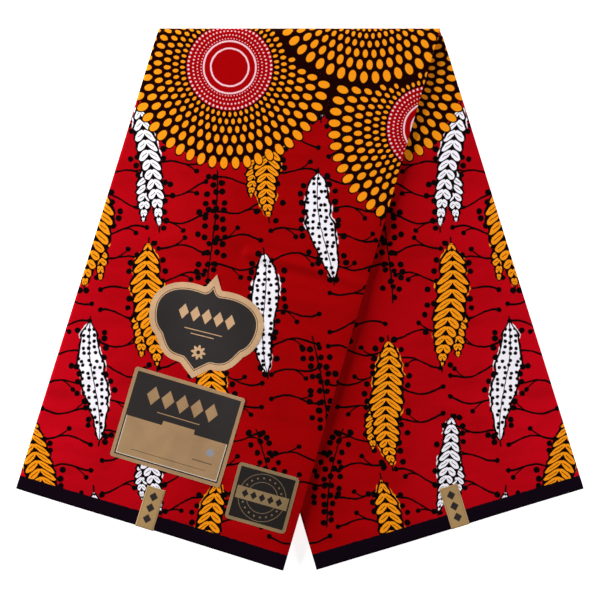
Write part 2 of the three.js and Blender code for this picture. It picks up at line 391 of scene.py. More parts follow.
BLADES_FROM = 0.7  # shares of the cells: leaflets up to here, then dotted blades
BUNCHES_FROM = 0.84  # and bunches of berries alone
BLADE_SLIMMER = 3
BLADE_RIM = 0.8
BLADE_RIB = 0.5
BLADE_DOT_SPACING = 6.8
BLADE_DOT = 2
HALO = 0.7
HALO_RAGS = 3.4
HALO_FROM = 0.55
HALO_SCALES = (0.2, 0.035)  # of its rags, and of the patches that it comes in
BERRY_SPACING = 9.4
BERRY_SCATTER = 0.55
BERRY_SIZES = (2.5, 4.2)
BERRY_BAND = (5.8, 4.2)  # middle and half width of the band that they fill, outside a frond's edge
BERRY_THICKETS = 0.43
BERRY_SCALES = (0.033, 0.3)  # of their thickets, and of their sizes
BERRY_END = 1.08
BUNCH_RIM = 2

TENDRIL_ROW = 31
TENDRIL_STAGGER = 11
TENDRIL_SEED = 8
TENDRIL_SHARE = 0.93  # of the cells
TENDRIL_SLOPES = (-0.25, 0.25)
TENDRIL_WAVE = (0.1, 4)  # turn for each mm, and height
TENDRIL_REACHES = (24, 28)
TENDRIL_HALVES = (1.05, 1.4)  # half widths in the middle and at the ends
TENDRIL_BERRY = 2.8
FORK_PLACES = (-15.6, 10.4)
FORK_LENGTH = 15
FORK_RISE = 8
FORK_HALF = 1


def frond_cell(x, y):
    """The frond of a place's cell: six numbers drawn for it, its half length, and how far the place is
    from its stem, how far up it, and how far up as a share of the half length."""
    column, from_middle = cell_of(x + FROND_ORIGIN[0], FROND_COLUMN)
    stagger = math_of("MODULO", abs(column), 2) * (FROND_ROW / 2)
    row, up = cell_of(y + stagger + FROND_ORIGIN[1], FROND_ROW)
    draws = random_of(column, row, FROND_SEEDS[0]) + random_of(column, row, FROND_SEEDS[1])
    chance, shift, turn, size, bow, _ = draws
    half_length = between(size, FROND_HALVES)
    up = up + between(turn, FROND_CLIMB)
    along = up / half_length
    sway = math_of("SINE", along * between(chance, FROND_WAVES) + turn * PHASES) * FROND_SWAY
    across = from_middle + between(shift, FROND_ASIDE) + sway + along * between(bow, FROND_LEAN)
    return draws, half_length, across, up, along


def frond_width(along, girth, draw):
    """Half the width of a frond, which is broadest in the middle and uneven."""
    profile = math_of("MAXIMUM", 1 - along * along, 0) ** FROND_ROUNDING
    lumps = noise_at(draw * LUMPS[0], along * LUMPS[1], 1)
    return profile * between(lumps, LUMP_SIZES) * (girth + along * FROND_TAPER)


def frond_girth(draws):
    return between(draws[0], FROND_GIRTHS) - (draws[5] > BLADES_FROM) * BLADE_SLIMMER


def leafy(across, along, half_length, width, pitch):
    """A frond's black backing, and its leaflets, which point down and out, a pair at every pitch."""
    side = abs(across)
    within = inside(abs(along) - FROND_END, SHARP)
    slant = cell_of(along * half_length + side * LEAFLET_SLANT, pitch)[1]
    out = side / math_of("MAXIMUM", width, 0.5)
    swell = math_of("SQRT", math_of("MAXIMUM", 1 - (out * 2 - 0.96) ** 2, 0))
    vein = inside(abs(slant) - VEIN, FINE_BLUR) * inside(out - VEIN_ENDS[1], 0.1)
    vein = vein * inside(VEIN_ENDS[0] - out, 0.06)
    leaflets = inside(abs(slant) - swell * pitch * LEAFLET_FILL) * (1 - vein) * within
    scallops = math_of("SINE", slant * SCALLOP_TURN) * SCALLOP
    backing = inside(side - width - BACKING_RIM - scallops) * within
    return backing, leaflets * inside(side - width - LEAFLET_TIP)


def berries_by(x, y):
    """Black berries beside the fronds and in the bunches, each drawn whole or not at all, by where its
    middle lies."""
    near, middle_x, middle_y = specks(x, y, BERRY_SPACING, BERRY_SCATTER)
    draws, _, across, _, along = frond_cell(middle_x, middle_y)
    from_edge = abs(across) - frond_width(along, frond_girth(draws), draws[2])
    band_middle, band_half = BERRY_BAND
    thick = noise_at(middle_x, middle_y, BERRY_SCALES[0]) > BERRY_THICKETS
    beside = (abs(from_edge - band_middle) < band_half) * thick * (abs(along) < BERRY_END)
    bunch = (from_edge < BUNCH_RIM) * (draws[5] > BUNCHES_FROM) * (abs(along) < 1)
    plump = between(noise_at(middle_y, middle_x, BERRY_SCALES[1]), BERRY_SIZES)
    return inside(near - plump) * any_of(beside, bunch)


def frond_colours(x, y, ground):
    """Hanging fronds of leaflets with a shoot to one side, or in place of some a blade of one dotted
    leaf or a bunch of berries alone."""
    draws, half_length, across, up, along = frond_cell(x, y)
    chance, shift, turn, size, bow, kind = draws
    is_blade, has_frond = kind > BLADES_FROM, kind < BUNCHES_FROM
    pitch = between(shift, LEAFLET_PITCHES)
    width = frond_width(along, frond_girth(draws), turn)
    outside = abs(across) - width
    within = inside(abs(along) - FROND_END, SHARP)
    backing, leaflets = leafy(across, along, half_length, width, pitch)

    aside, spread, curl = SHOOT_CURVE
    hand = math_of("SIGN", 0.5 - bow)
    shoot_half = half_length * SHOOT_HALF
    shoot_along = (up + half_length * between(shift, SHOOT_DROPS)) / shoot_half
    shoot_across = across * hand + aside + shoot_along * spread + shoot_along * shoot_along * curl
    shoot_width = frond_width(shoot_along, between(size, SHOOT_GIRTHS), shift)
    shoot = leafy(shoot_across, shoot_along, shoot_half, shoot_width, pitch * SHOOT_PITCH)

    dots = inside(specks(x, y, BLADE_DOT_SPACING, 0.5)[0] - BLADE_DOT)
    rib = inside(abs(across) - BLADE_RIB, FINE_BLUR)
    blade = inside(outside + BLADE_RIM) * (1 - dots) * (1 - rib) * within

    tint = blend(any_of(chance < WHITE_SHARE, is_blade), ORANGE, WHITE)
    ragged = noise_at(x, y, HALO_SCALES[0]) * HALO_RAGS
    patches = inside(HALO_FROM - noise_at(x, y, HALO_SCALES[1]), 0.03)
    halo = inside(outside - HALO - ragged) * patches * within * has_frond
    stem = inside(abs(across) - STEM, FINE_BLUR) * inside(abs(along) - STEM_REACH, 0.02)

    ground = blend(halo, ground, tint)
    ground = blend(any_of(stem, berries_by(x, y)), ground, BLACK)
    for mask, ink in zip(shoot, (BLACK, tint)):
        ground = blend(mask * (1 - is_blade), ground, ink)
    ground = blend(backing * has_frond, ground, BLACK)
    return blend(blend(is_blade, leaflets, blade) * has_frond, ground, tint)


def tendrils(x, y):
    """Wavy black lines that cross between the fronds and fork, with a berry at each of their ends."""
    column, across = cell_of(x + FROND_ORIGIN[0] + FROND_COLUMN / 2, FROND_COLUMN)
    stagger = math_of("MODULO", abs(column) * TENDRIL_STAGGER, TENDRIL_ROW)
    row, up = cell_of(y + stagger, TENDRIL_ROW)
    slope, bow, present = random_of(column, row, TENDRIL_SEED)
    wave_turn, wave_height = TENDRIL_WAVE

    def rise_at(place):
        wave = math_of("SINE", place * wave_turn + bow * PHASES) * wave_height
        return place * between(slope, TENDRIL_SLOPES) + wave

    def berry(place, height):
        return inside(length_of(across - place, up - height) - TENDRIL_BERRY)

    reach = between(bow, TENDRIL_REACHES)
    above = up - rise_at(across)
    half_width = ramp(abs(across), 0, TENDRIL_REACHES[1], *TENDRIL_HALVES)
    fork = between(present, FORK_PLACES)
    fork_end = fork + FORK_LENGTH
    fork_rise = math_of("SIGN", 0.5 - slope) * FORK_RISE
    from_fork = (across - fork) / FORK_LENGTH
    branch = inside(abs(above - fork_rise * from_fork * from_fork) - FORK_HALF)
    drawn = any_of(
        inside(abs(above) - half_width) * inside(abs(across) - reach, FINE_BLUR),
        branch * inside(abs(from_fork - 0.5) - 0.5, SHARP),
        *(berry(reach * end, rise_at(reach * end)) for end in (-1, 1)),
        berry(fork_end, rise_at(fork_end) + fork_rise),
    )
    return drawn * (present < TENDRIL_SHARE)


# The ground turns lighter and cooler towards one side, in drifts, and is streaked along the weft
CRIMSON_END, CRIMSON_START = -300, -60
DRIFT, DRIFT_SCALE = 160, 0.012
STREAK_RUN, STREAK_SLANT, STREAK_SCALE = 0.35, 0.12, 0.05
STREAKS = (0.45, 0.75, 0, 0.3)  # from and to, and how strong the streaks are there
WOBBLE, WOBBLE_SCALES = 1.6, (0.16, 0.13)  # how far hand-cut lines stray, in mm
CRINKLE_SCALE, BILLOW_SCALE = 0.09, 0.034
SELVEDGE_WIDTH = 15.3
YARN = 0.62  # one over-and-under of the weave, in mm
SLUB_ALONG, SLUB_ACROSS = 0.12, 2.4  # how fast the yarns thicken and thin, for each mm
SLUBS = (0.6, 1.4)
SLUB_TONES = (0.93, 1.07)  # thicker yarns take more of the ink
SLUB_ROUGHNESS = (0.66, 0.8)
RELIEF = {"weave": 0.02, "slub": 0.05, "crinkle": 0.35, "billow": 2.2}


def bumped(shader, strength, height):
    """Raises a paint's surface by height, in mm."""
    inputs = {"Strength": strength, "Distance": MM, "Height": height}
    plug(shader.inputs["Normal"], node_of("ShaderNodeBump", inputs)[0])


def wax_print():
    """Printed cotton. The map "print" is the place in the design, and the map "thread" the distances
    across the cloth and from the selvedge."""
    material, shader = new_paint("wax_print_cotton", {
        "Specular IOR Level": 0.03,
        "Specular Tint": (1, 0.4, 0.35, 1),
        "Sheen Weight": 0.05,
        "Sheen Roughness": 0.4,
        "Sheen Tint": (1, 0.12, 0.1, 1),
    })
    Field.tree = material.node_tree
    x, y = map_in_mm("print")
    across, from_hem = map_in_mm("thread")
    wobble = (noise_at(x, y, WOBBLE_SCALES[0]) - 0.5) * WOBBLE
    sway = (noise_at(y, x, WOBBLE_SCALES[1]) - 0.5) * WOBBLE

    drift = (noise_at(x, y, DRIFT_SCALE, 2) - 0.5) * DRIFT
    ground = blend(ramp(x + drift, CRIMSON_END, CRIMSON_START), CRIMSON, DEEP_RED)
    streak = noise_at(x * STREAK_RUN, y + x * STREAK_SLANT, STREAK_SCALE, 3)
    ground = blend(ramp(streak, *STREAKS), ground, STREAK_RED)
    ground = blend(tendrils(x + wobble, y + sway), ground, BLACK)
    colour = frond_colours(x + wobble, y + sway, ground)
    colour = roundel_colours(x + wobble * 0.5, y + sway * 0.5, colour)
    colour = blend(inside(from_hem - SELVEDGE_WIDTH - wobble), colour, SELVEDGE_BLACK)

    slub = noise_at(across * SLUB_ALONG, from_hem * SLUB_ACROSS, 1, 2)
    slub = slub + noise_at(across * SLUB_ACROSS, from_hem * SLUB_ALONG, 1, 2)
    tone = ramp(slub, *SLUBS, *SLUB_TONES)
    shaded = node_of("ShaderNodeHueSaturation", {"Color": colour, "Value": tone})[0]
    plug(shader.inputs["Base Color"], shaded)
    plug(shader.inputs["Roughness"], ramp(slub, *SLUBS, *SLUB_ROUGHNESS))

    over_under = [math_of("SINE", place * (2 * pi / YARN)) for place in (across, from_hem)]
    heights = {
        "weave": over_under[0] * over_under[1],
        "slub": slub,
        "crinkle": noise_at(x, y, CRINKLE_SCALE, 3),
        "billow": noise_at(x * 0.6, y, BILLOW_SCALE),
    }
    total = 0
    for name, height in heights.items():
        total = height * RELIEF[name] + total
    bumped(shader, 0.45, total)
    return material


cotton = wax_print()

# ---------------------------------------------------------------- the folded cloth
# Six yards of cotton, folded to and fro in 18 layers a third of a yard wide. The whole band is doubled
# over at the top, so the layers turn round each other there, and its two legs lie splayed, the left
# one over the right one. Outside it and inside the turn lie the layers that show.

PLIES = 18
PLY_PITCH = 0.5
COTTON = 0.32  # thickness of one layer
PANEL_WIDTH = 304.8
FOLD_CHORD = 306.2  # the band's width along the top fold
OUTER_EDGE = 525.5
INNER_EDGE = 615.2
OUTER_SPLAY = radians(17.33)
INNER_SPLAY = radians(16.17)
DRAPE_START = 2  # how far past the under leg the upper one begins to sink
DRAPE_REACH = 80  # and how much further it reaches the table
STACK = PLIES * PLY_PITCH
LIFT = STACK + 0.3
FOLD_RADIUS = (STACK + LIFT) / 2
TOP_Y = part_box("top_fold_face")[1][1] / MM
FOLD_ARC = pi * FOLD_RADIUS

# Soft folds: ends, height at the middle and how far they reach on each side
UPPER_FOLDS = [
    (-60, 46, 78, 15, -1.3, 26),
    (-40, 6, 62, -16, 0.9, 26),
    (-200, 104, -150, 78, -0.9, 24),
    (-196, -60, -150, -4, 0.8, 26),
]
UNDER_FOLDS = [
    (186, 20, 212, -120, -0.9, 26),
    (128, -100, 150, -200, 0.8, 26),
]
# Finer ridges, in the layer that shows alone
UPPER_CREASES = [
    (-56, 50, 26, 31, 3.4, 9),
    (26, 31, 66, 16, 2.4, 9),
    (-14, 20, 66, 2, 0.8, 8),
    (-187, 98, -158, 82, 0.8, 7),
    (-44, -32, 0, -44, 0.8, 7),
    (-236, -86, -205, -52, 0.6, 8),
    (-262, -150, -214, -178, 0.7, 9),
    (-96, 176, -40, 160, 0.6, 9),
    (-30, -120, -8, -168, 0.6, 8),
    (40, 120, 88, 150, 0.6, 9),
]
UNDER_CREASES = [
    (150, 60, 186, 38, 0.7, 8),
    (214, -40, 252, -70, 0.6, 8),
    (96, -150, 132, -176, 0.6, 8),
    (236, -160, 262, -130, 0.6, 8),
]
LOFT = 0.2  # how far the layer that shows stands off the next
RIPPLE = 0.14
RIPPLE_RUNS = [(31, 47), (-70, 38)]  # mm in x and y for each radian of its two waves
ROLL_DEPTH = 2  # how far the upper leg's inner edge is pressed down
ROLL_REACH = 18
ROLL_START = 40  # how far below the top fold that begins


def edge_x(lean, end, down):
    """A leg's outer edge (end 0) or inner edge (end 1), a distance below the top fold."""
    outward = FOLD_CHORD / 2 + down * tan(OUTER_SPLAY)
    inward = -FOLD_CHORD / 2 + down * tan(INNER_SPLAY)
    return lean * (inward if end else outward)


def relief(folds, x, y):
    """How far the soft folds raise or sink the cloth."""
    height = np.zeros_like(x)
    for x0, y0, x1, y1, rise, reach in folds:
        run = np.array([x1 - x0, y1 - y0])
        share = np.clip(((x - x0) * run[0] + (y - y0) * run[1]) / (run @ run), 0, 1)
        away = np.hypot(x - x0 - share * run[0], y - y0 - share * run[1])
        height += rise * np.maximum(0, 1 - (away / reach) ** 2) ** 2
    return height


def upper_base(x, y):
    """The height of the upper leg's underside: on the under leg, and past it down to the table."""
    past = (edge_x(1, 1, TOP_Y - y) - x) * cos(INNER_SPLAY)
    share = np.clip((past - DRAPE_START) / DRAPE_REACH, 0, 1)
    return LIFT * (1 - share * share * (3 - 2 * share))


def rolled(x, y):
    """How far the upper leg's folded edge, which lies over the other leg, is pressed down."""
    down = TOP_Y - y
    inward = (edge_x(-1, 1, down) - x) * cos(INNER_SPLAY)
    share = np.maximum(0, 1 - np.maximum(inward, 0) / ROLL_REACH)
    return ROLL_DEPTH * share * share * np.clip((down - ROLL_START) / ROLL_START, 0, 1)


def ripple(x, y):
    """A faint waviness all over."""
    (ax, ay), (bx, by) = RIPPLE_RUNS
    return RIPPLE * np.sin(x / ax + y / ay) * np.sin(x / bx + y / by)


def upper_height(x, y, depth):
    """depth is 0 at the top of the leg and 1 at its underside."""
    stack = STACK + relief(UPPER_FOLDS, x, y) + ripple(x, y) - rolled(x, y)
    height = upper_base(x, y) + stack * (1 - depth)
    return height + LOFT + relief(UPPER_CREASES, x, y) if depth * PLIES < 1 else height


def under_height(x, y, depth):
    height = (STACK + relief(UNDER_FOLDS, x, y) + ripple(x, y)) * depth
    return height + LOFT + relief(UNDER_CREASES, x, y) if (1 - depth) * PLIES < 1 else height


def band_edges(zone, place, radius, stretch):
    """The band's left and right edges in plan, in the upper leg, the turn at the top or the under leg.
    place is 0 at the turn and 1 at the hem, or the angle round the turn."""
    if zone == "turn":
        down = FOLD_RADIUS - radius * np.sin(place)
        share = (1 - np.cos(place)) / 2
        left = edge_x(-1, 0, down) * (1 - share) + edge_x(1, 1, down) * share
        right = edge_x(-1, 1, down) * (1 - share) + edge_x(1, 0, down) * share
        return np.array([left, TOP_Y - down]), np.array([right, TOP_Y - down])
    lean = -1 if zone == "upper" else 1
    edges = []
    for end, (length, splay) in enumerate([(OUTER_EDGE, OUTER_SPLAY), (INNER_EDGE, INNER_SPLAY)]):
        down = FOLD_RADIUS + (length * cos(splay) - FOLD_RADIUS) * place * stretch
        edges.append(np.array([edge_x(lean, end, down), TOP_Y - down]))
    return edges if zone == "upper" else edges[::-1]


chance = np.random.default_rng(1254)
WAVES = 6
WAVE_SIZES = (0.4, 1)  # of the slowest wave; the others are smaller
WAVE_FALL = 0.7
LEVELS = (0.25, 0.75)
SLOWEST = 0.9  # turns of the slowest wave along an edge
SWING = 0.25


def wavering(count, low, high):
    """For each of some edges, a distance that wanders slowly between low and high along it."""
    phases = chance.uniform(0, 2 * pi, (count, WAVES))
    sizes = chance.uniform(*WAVE_SIZES, (count, WAVES)) / np.arange(1, WAVES + 1) ** WAVE_FALL
    levels = chance.uniform(*LEVELS, count)

    def distance(edge, share):
        swing = sum(
            sizes[edge, n] * np.sin(2 * pi * (n + 1) * SLOWEST * share + phases[edge, n])
            for n in range(WAVES)
        )
        return low + (high - low) * np.clip(levels[edge] + swing * SWING, 0, 1)

    return distance


# How far each folded edge lies outside the straight one, and each hem beyond the last one
FOLD_LIMITS = (-1.7, 0.1)
HEM_LIMITS = (-2.4, -0.1)
left_folds = wavering(PLIES // 2 + 1, *FOLD_LIMITS)
right_folds = wavering(PLIES // 2, *FOLD_LIMITS)
upper_hems = wavering(PLIES, *HEM_LIMITS)
under_hems = wavering(PLIES, *HEM_LIMITS)
# How far the layers that show stray, and how many radians their waves take along an edge or a hem
SHOWN_FOLDS = (0.16, 2 * pi * 3.1)
SHOWN_HEMS = (0.2, 9)


def fold_offset(side, ply, share):
    """How far out a layer's left edge (side 0) or right edge (side 1) reaches."""
    pair = ply // 2 if side else (ply + 1) // 2
    if pair in (0, (PLIES - 1) // 2 if side else PLIES // 2):
        return SHOWN_FOLDS[0] * np.sin(SHOWN_FOLDS[1] * share + pair + side)
    return (right_folds if side else left_folds)(pair, share)


def hem_offset(zone, ply, across):
    if ply in (0, PLIES - 1):
        return SHOWN_HEMS[0] * sin(across * SHOWN_HEMS[1] + ply)
    return (upper_hems if zone == "upper" else under_hems)(ply, across)


PLY_SHIFT = 47  # how far along the design each layer is from the last


def band_rows(upper=(), turn=(), under=()):
    """Places along the band, from the upper hem over the top to the under hem."""
    return {"upper": np.array(upper), "turn": np.array(turn), "under": np.array(under)}


def across_layer(ply, columns, start=0.0, end=PANEL_WIDTH):
    """Stations across a layer as (level, share across, bulge), from start to end mm along its run. Even
    layers run from left to right and odd ones from right to left."""
    runs = np.linspace(start, end, columns + 1) / PANEL_WIDTH
    return [(float(ply), run if ply % 2 == 0 else 1 - run, 0.0) for run in runs]


def round_fold(ply):
    """Stations round the fold from a layer into the next."""
    side = 1.0 if ply % 2 == 0 else 0.0
    turns = np.linspace(0, pi, FOLD_STEPS + 1)[1:-1]
    return [(ply + (1 - cos(turn)) / 2, side, sin(turn)) for turn in turns]


def station_line(station, rows, mirrored):
    """One line of the cloth along the band: its points, its places in the design and its places on the
    uncut cloth, which are the distance across all layers and the distance from the nearer hem."""
    level, across, bulge = station
    ply = int(level)
    depth = (level + 0.5) / PLIES
    radius = FOLD_RADIUS - (level + 0.5) * PLY_PITCH
    points, design, thread = [], [], []
    axis_y = TOP_Y - FOLD_RADIUS
    for zone, place in rows.items():
        if not len(place):
            continue
        stretch = 1 + hem_offset(zone, ply, across) / OUTER_EDGE if zone != "turn" else 1
        left, right = band_edges(zone, place, radius, stretch)
        run = right - left
        outward = run / np.hypot(*run)
        share = {"upper": 0.5 - place / 2, "turn": 0.5 + 0 * place, "under": 0.5 + place / 2}[zone]
        inset = (1 - bulge) * PLY_PITCH / 2
        shift = (fold_offset(1, ply, share) - inset) * across
        shift -= (fold_offset(0, ply, share) - inset) * (1 - across)
        x, y = left + run * across + outward * shift
        if zone == "turn":
            z = FOLD_RADIUS + radius * np.cos(place)
            travelled = radius * place
        elif zone == "upper":
            z, travelled = upper_height(x, y, depth), y - axis_y
        else:
            z, travelled = under_height(x, y, depth), pi * radius + axis_y - y
        if mirrored:
            travelled = pi * radius - travelled
        points.append(np.stack([x, y, z], axis=1))
        drawn_x = -x if mirrored else x + PLY_SHIFT * ply
        design.append(np.stack([drawn_x, axis_y + travelled], axis=1))
        run_in = across if ply % 2 == 0 else 1 - across
        edge_length = OUTER_EDGE if zone == "turn" else (1 - place) * OUTER_EDGE
        thread.append(np.stack([(ply + run_in) * PANEL_WIDTH + 0 * x, edge_length + 0 * x], axis=1))
    return [np.concatenate(parts) for parts in (points, design, thread)]


def quads(*corners):
    return np.stack([corner.ravel() for corner in corners], axis=1)


def closed_shell(name, middle, thickness, maps, material, shown_share):
    """A thin closed shell about a grid of points, with maps given at each of them in mm. Its upper face
    takes shown_share of the height of the map OFBake, and the rest of it the rest."""
    shape = middle.shape[:2]
    normal = np.cross(np.gradient(middle, axis=0), np.gradient(middle, axis=1))
    normal *= thickness / 2 / np.linalg.norm(normal, axis=2, keepdims=True)
    vertices = np.concatenate([(middle + normal).reshape(-1, 3), (middle - normal).reshape(-1, 3)])
    front = np.arange(shape[0] * shape[1]).reshape(shape)
    back = front + front.size
    faces = [
        quads(front[:-1, :-1], front[1:, :-1], front[1:, 1:], front[:-1, 1:]),
        quads(back[:-1, 1:], back[1:, 1:], back[1:, :-1], back[:-1, :-1]),
        quads(back[:-1, 0], back[1:, 0], front[1:, 0], front[:-1, 0]),
        quads(front[:-1, -1], front[1:, -1], back[1:, -1], back[:-1, -1]),
        quads(front[0, :-1], front[0, 1:], back[0, 1:], back[0, :-1]),
        quads(back[-1, :-1], back[-1, 1:], front[-1, 1:], front[-1, :-1]),
    ]
    run = [np.broadcast_to(line, shape).ravel() for line in (
        np.linspace(MAP_MARGIN, 1 - MAP_MARGIN, shape[0])[:, None], np.linspace(0, 1, shape[1])
    )]
    bands = [(MAP_MARGIN, shown_share), (shown_share + MAP_MARGIN, EDGE_BAND - MAP_MARGIN)]
    flat = [
        np.stack([run[0][face % front.size], low + (high - low) * run[1][face % front.size]], axis=2)
        for face, (low, high) in zip(faces, bands)
    ]
    for n, face in enumerate(faces[2:]):
        along = run[0] if n < 2 else MAP_MARGIN + (1 - 2 * MAP_MARGIN) * run[1]
        height = EDGE_BAND + EDGE_STRIP * (n + EDGE_FILL * (face >= front.size))
        flat.append(np.stack([along[face % front.size], height], axis=2))
    faces = np.concatenate(faces)
    layers = {layer: values.reshape(-1, 2)[faces % front.size] * MM for layer, values in maps.items()}
    return mesh_piece(name, vertices * MM, faces, layers | {"OFBake": np.concatenate(flat)}, material)


def cloth_piece(name, stations, rows, mirrored, shown_share):
    """A layer or more of the cloth, through the stations and rows."""
    lines = [station_line(station, rows, mirrored) for station in stations]
    middle, design, thread = (np.stack(parts) for parts in zip(*lines))
    return closed_shell(name, middle, COTTON, {"print": design, "thread": thread}, cotton, shown_share)


def mesh_piece(name, vertices, faces, maps, material):
    """An object at the origin with smooth four-sided faces, and maps given for each of their corners."""
    mesh = bpy.data.meshes.new(name)
    mesh.from_pydata(vertices, [], faces, shade_flat=False)
    for layer, values in maps.items():
        mesh.uv_layers.new(name=layer).uv.foreach_set("vector", values.astype(np.float32).ravel())
    mesh.materials.append(material)
    piece = bpy.data.objects.new(name, mesh)
    scene.collection.objects.link(piece)
    return piece


FOLD_STEPS = 4
FLAP = 9  # how far a layer that shows goes on past its fold, into the one behind it
COLUMNS = 112
LOW_COLUMNS = 30
HIDDEN_COLUMNS = 18
SEAM_PLACE = 0.03  # and past the turn at the top, as a share of the leg
MAP_MARGIN = 0.003
EDGE_BAND = 0.96
EDGE_STRIP = 0.009
EDGE_FILL = 0.9
SHOWN_ROWS, HIDDEN_ROWS = 190, 60
TURN_ROWS, HIDDEN_TURN_ROWS, SEAM_ROWS = 12, 9, 3

turn = np.linspace(0, pi, TURN_ROWS + 1)
hidden_turn = np.linspace(0, pi, HIDDEN_TURN_ROWS + 1)
shown_leg = np.linspace(0, 1, SHOWN_ROWS + 1)[1:]
low_leg = np.linspace(SEAM_PLACE, 1, HIDDEN_ROWS + 1)
hidden_leg = np.linspace(0, 1, HIDDEN_ROWS + 1)[1:]
seam = np.linspace(0, SEAM_PLACE, SEAM_ROWS + 1)[1:]

LAST = PLIES - 1
outer_stations = [
    across_layer(0, columns) + round_fold(0) + across_layer(1, 1, end=FLAP)
    for columns in (COLUMNS, LOW_COLUMNS)
]
from_behind = across_layer(LAST - 1, 1, start=PANEL_WIDTH - FLAP) + round_fold(LAST - 1)
inner_stations = [from_behind + across_layer(LAST, columns) for columns in (COLUMNS, LOW_COLUMNS)]
hidden_stations = across_layer(1, HIDDEN_COLUMNS, start=FLAP)
for ply in range(2, LAST):
    end = PANEL_WIDTH - FLAP if ply == LAST - 1 else PANEL_WIDTH
    hidden_stations += round_fold(ply - 1) + across_layer(ply, HIDDEN_COLUMNS, end=end)

LEG = (OUTER_EDGE + INNER_EDGE) / 2
# Name, stations, rows, whether its print is mirrored, the share of its map that its upper face takes,
# slot, the solids that it stands for, and its share of the uncut cloth, across it and along it
SHEETS = [
    (
        "upper_leg_top_layer", outer_stations[0], (shown_leg[::-1], turn, seam), False, 0.9,
        "cloth_face", ["upper_leg_face", "top_fold_face"],
        (PANEL_WIDTH + FLAP, LEG * (1 + SEAM_PLACE) + FOLD_ARC - FOLD_RADIUS),
    ),
    (
        "under_leg_top_layer", inner_stations[0], (seam[::-1], turn, shown_leg), True, 0.9,
        "cloth_face", ["under_leg_face"], (PANEL_WIDTH + FLAP, LEG * (1 + SEAM_PLACE)),
    ),
    (
        "under_leg_lowest_layer", outer_stations[1], ((), (), low_leg), False, 0.8,
        "cloth_layers", [], (PANEL_WIDTH + FLAP, LEG * (1 - SEAM_PLACE)),
    ),
    (
        "upper_leg_lowest_layer", inner_stations[1], (low_leg[::-1], (), ()), True, 0.8,
        "cloth_layers", [], (PANEL_WIDTH + FLAP, LEG * (1 - SEAM_PLACE)),
    ),
    (
        "layers_between", hidden_stations, (hidden_leg[::-1], hidden_turn, hidden_leg), False, 0.6,
        "cloth_layers", ["upper_leg_layers", "under_leg_layers", "top_fold_layers"],
        ((PLIES - 2) * PANEL_WIDTH - 2 * FLAP, 2 * LEG),
    ),
]
for name, stations, rows, mirrored, shown_share, slot, solids, cut in SHEETS:
    sheet = cloth_piece(name, stations, band_rows(*rows), mirrored, shown_share)
    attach(sheet, "root")
    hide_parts(*solids)
    tuple(side * MM for side in cut)

# ---------------------------------------------------------------- selvedge
# Along each hem the weft yarns turn back into the cloth, and show as rows of tiny loops. Geometry nodes
# set them out along the hem of every layer.

LOOPS = {"Spacing": 2.6 * MM, "Reach": 0.5 * MM, "Thickness": 0.09 * MM, "Seed": 4}
LOOP_SIZES = {"Min": 0.55, "Max": 1.0}  # shares of the reach
LOOP_STEPS = 6
YARN_SIDES = 4
YARN_SCALE = 300
HEM_COLUMNS = 24


def loops_along(name, paint):
    """Geometry nodes that set half-round loops of yarn along lines, out to their right."""
    tree = bpy.data.node_groups.new(name, "GeometryNodeTree")
    for label in ("Geometry", *LOOPS):
        kind = {"Geometry": "Geometry", "Seed": "Int"}.get(label, "Float")
        tree.interface.new_socket(label, in_out="INPUT", socket_type="NodeSocket" + kind)
    tree.interface.new_socket("Geometry", in_out="OUTPUT", socket_type="NodeSocketGeometry")
    Field.tree = tree
    lines, spacing, reach, thickness, seed, *_ = node_of("NodeGroupInput", {})
    curve = node_of("GeometryNodeMeshToCurve", {"Mesh": lines})[0]
    spaced = node_of("GeometryNodeResampleCurve", {"Curve": curve, "Length": spacing}, mode="LENGTH")[0]
    half_round = {"Resolution": LOOP_STEPS, "Radius": 1, "Start Angle": -pi, "Sweep Angle": pi}
    bend = node_of("GeometryNodeCurveArc", half_round, mode="RADIUS")[0]
    section = {"Resolution": YARN_SIDES, "Radius": thickness / reach}
    section = node_of("GeometryNodeCurvePrimitiveCircle", section)[0]
    tube = {"Curve": bend, "Profile Curve": section, "Fill Caps": True}
    size = node_of("FunctionNodeRandomValue", LOOP_SIZES | {"Seed": seed}, data_type="FLOAT")[1]
    tangent = node_of("GeometryNodeInputTangent", {})[0]
    loops = node_of("GeometryNodeInstanceOnPoints", {
        "Points": spaced,
        "Instance": node_of("GeometryNodeCurveToMesh", tube)[0],
        "Rotation": node_of("FunctionNodeAlignRotationToVector", {"Vector": tangent}, axis="X")[0],
        "Scale": size * reach,
    })[0]
    for kind in ("GeometryNodeRealizeInstances", "GeometryNodeSetShadeSmooth"):
        loops = node_of(kind, {"Geometry": loops})[0]
    loops = node_of("GeometryNodeSetMaterial", {"Geometry": loops, "Material": paint})[0]
    node_of("NodeGroupOutput", {"Geometry": loops})
    return tree


def yarn_paint(name, colour):
    paint, shader = new_paint(name, {"Roughness": 0.85})
    Field.tree = paint.node_tree
    place = node_of("ShaderNodeTexCoord", {})[3]
    tone = node_of("ShaderNodeTexNoise", {"Vector": place, "Scale": YARN_SCALE})[0]
    plug(shader.inputs["Base Color"], blend(tone * 0.6, colour, darker(colour, 0.5)))
    return paint


def hem_line(zone, ply):
    """Points along a layer's hem, from its left end to its right one."""
    stations = sorted(across_layer(ply, HEM_COLUMNS), key=lambda station: station[1])
    hem = band_rows(**{zone: (1.0,)})
    return np.concatenate([station_line(station, hem, False)[0] for station in stations])


